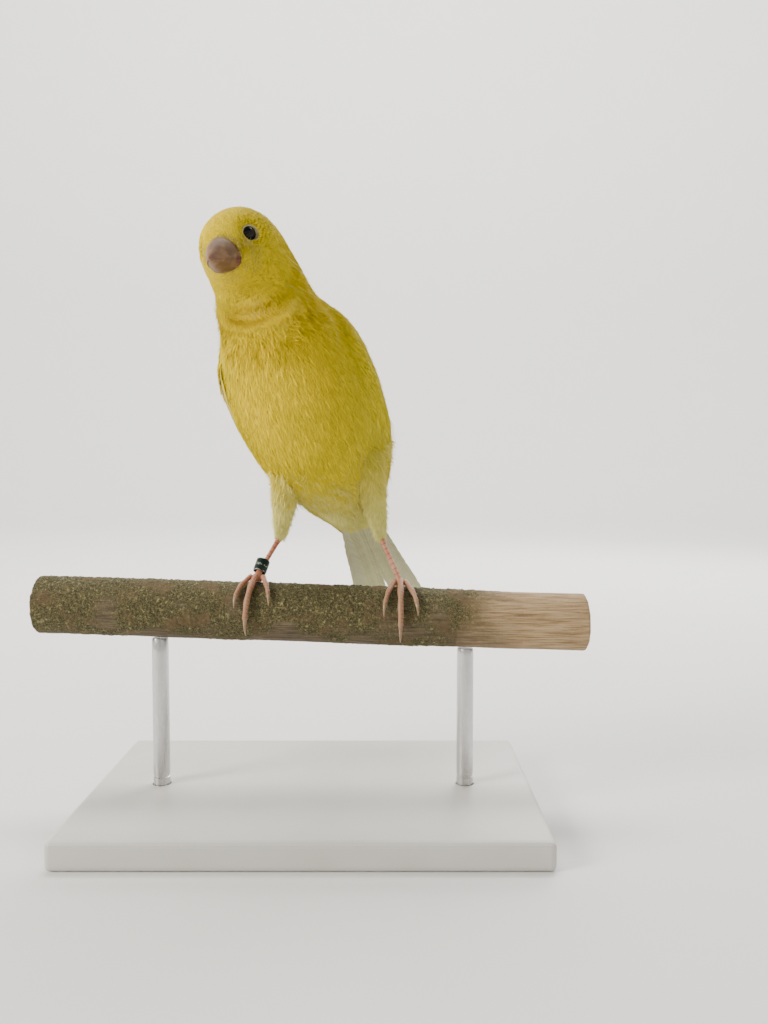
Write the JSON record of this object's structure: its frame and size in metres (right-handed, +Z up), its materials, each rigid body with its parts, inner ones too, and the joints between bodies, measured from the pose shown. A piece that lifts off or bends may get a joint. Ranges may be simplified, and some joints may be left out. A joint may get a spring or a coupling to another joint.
{
  "type": "perched canary model",
  "caption": "Life-size still model of a yellow canary gripping a short cut branch, leaning over with its head turned, held on a plain flat base by plain rods.",
  "frame": {"origin": "bottom centre of the stand's flat base", "axes": "+X along the branch to the bird's left, +Y behind the bird, towards its tail, +Z up"},
  "size_m": [0.1646, 0.0895, 0.1732],
  "materials": {
    "plumage": "soft matt yellow feathers, paler at their tips",
    "wing_feathers": "folded flight feathers, yellow outside and nearly white inside",
    "tail_feathers": "thin long feathers, yellowish white and partly see-through",
    "thigh_feathers": "fluffy pale yellow-white feathers",
    "eye": "wet black-brown cornea, opaque",
    "bill_horn": "smooth pinkish horn with a faint grain",
    "leg_skin": "scaly pink-orange skin",
    "claw_horn": "pale horn, a little see-through",
    "leg_ring": "dark green anodised metal with small plain pale strokes",
    "bark": "mossy grey-brown bark, worn bare at one end",
    "stand_paint": "light warm-grey satin paint",
    "stand_metal": "plain brushed rods"
  },
  "bodies": {
    "root": {"head": "plumage", "left_eye": "eye", "left_hind_toe": "leg_skin", "left_hind_toe_claw": "claw_horn", "left_inner_toe": "leg_skin", "left_inner_toe_claw": "claw_horn", "left_middle_toe": "leg_skin", "left_middle_toe_claw": "claw_horn", "left_outer_toe": "leg_skin", "left_outer_toe_claw": "claw_horn", "left_tarsus": "leg_skin", "left_thigh": "thigh_feathers", "left_wing": "wing_feathers", "leg_ring": "leg_ring", "lower_bill": "bill_horn", "neck": "plumage", "perch": "bark", "right_eye": "eye", "right_hind_toe": "leg_skin", "right_hind_toe_claw": "claw_horn", "right_inner_toe": "leg_skin", "right_inner_toe_claw": "claw_horn", "right_middle_toe": "leg_skin", "right_middle_toe_claw": "claw_horn", "right_outer_toe": "leg_skin", "right_outer_toe_claw": "claw_horn", "right_tarsus": "leg_skin", "right_thigh": "thigh_feathers", "right_wing": "wing_feathers", "stand_base": "stand_paint", "stand_rod_left": "stand_metal", "stand_rod_right": "stand_metal", "tail": "tail_feathers", "trunk": "plumage", "upper_bill": "bill_horn"}
  },
  "joints": []
}
